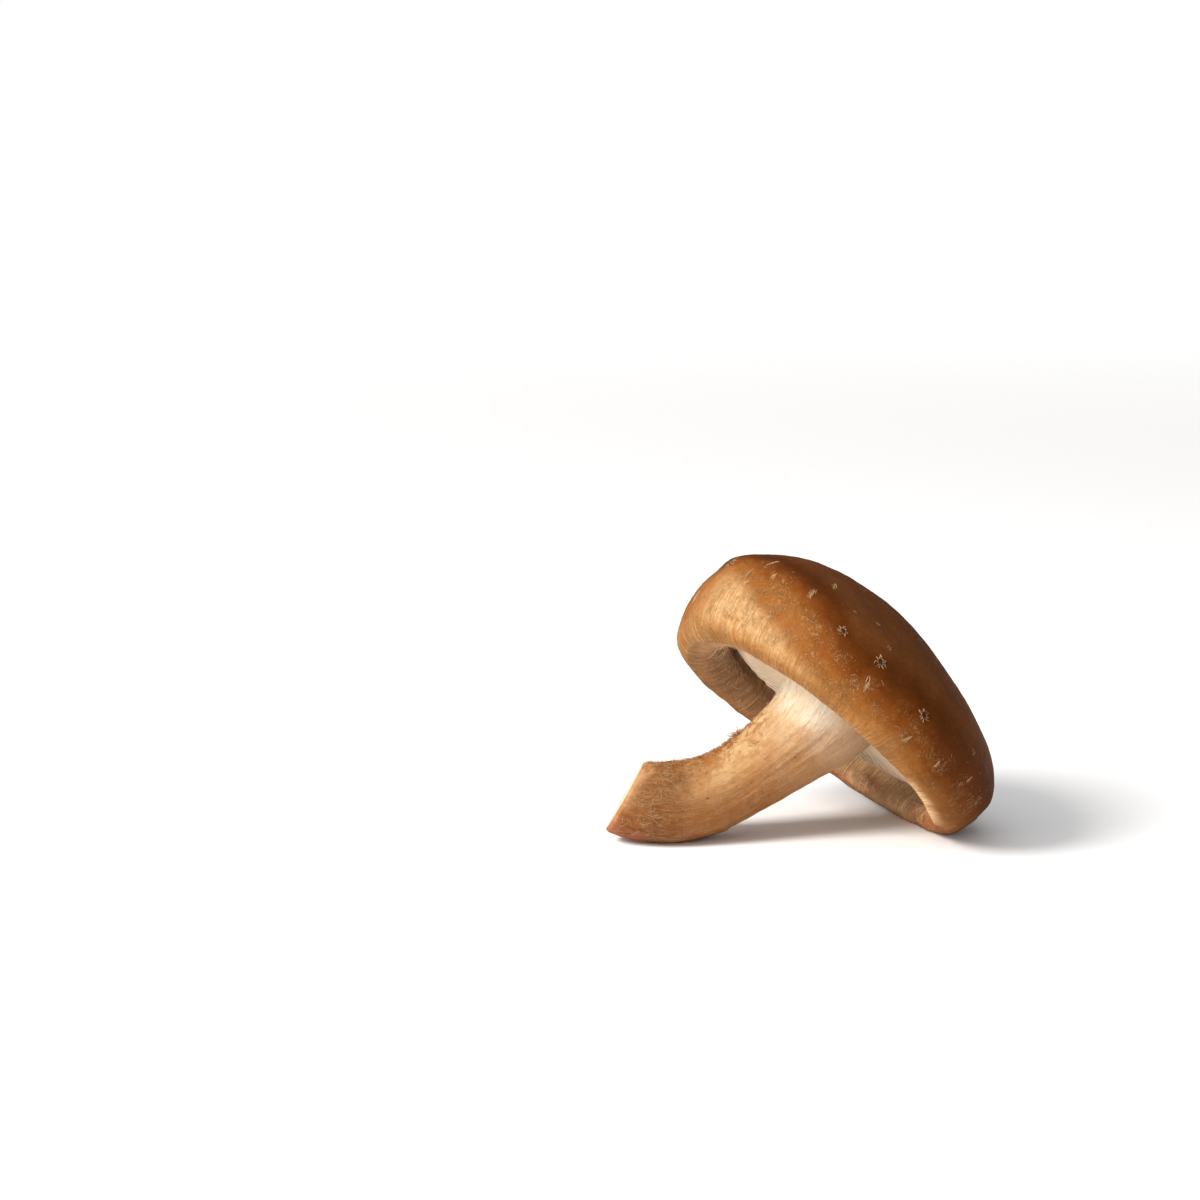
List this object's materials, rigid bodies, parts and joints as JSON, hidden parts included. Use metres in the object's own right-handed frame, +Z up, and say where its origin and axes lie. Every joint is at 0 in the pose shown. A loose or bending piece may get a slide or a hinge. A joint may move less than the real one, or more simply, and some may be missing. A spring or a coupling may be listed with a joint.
{
  "type": "shiitake mushroom",
  "caption": "Fresh shiitake mushroom lying on its side: a domed brown cap with a rolled-in wavy margin, pale gills under it, and a bent stem cut off at a slant.",
  "frame": {"origin": "on the surface the mushroom lies on, under the middle of its outline", "axes": "+Z up, +X from the cut foot of the stem towards the cap, -Y towards the side the picture shows"},
  "size_m": [0.081, 0.0728, 0.0599],
  "materials": {
    "cap_skin": "satin",
    "gills": "matt",
    "stem_skin": "matt",
    "veil": "matt"
  },
  "bodies": {
    "root": {"shiitake_mushroom": "cap_skin"}
  },
  "joints": []
}
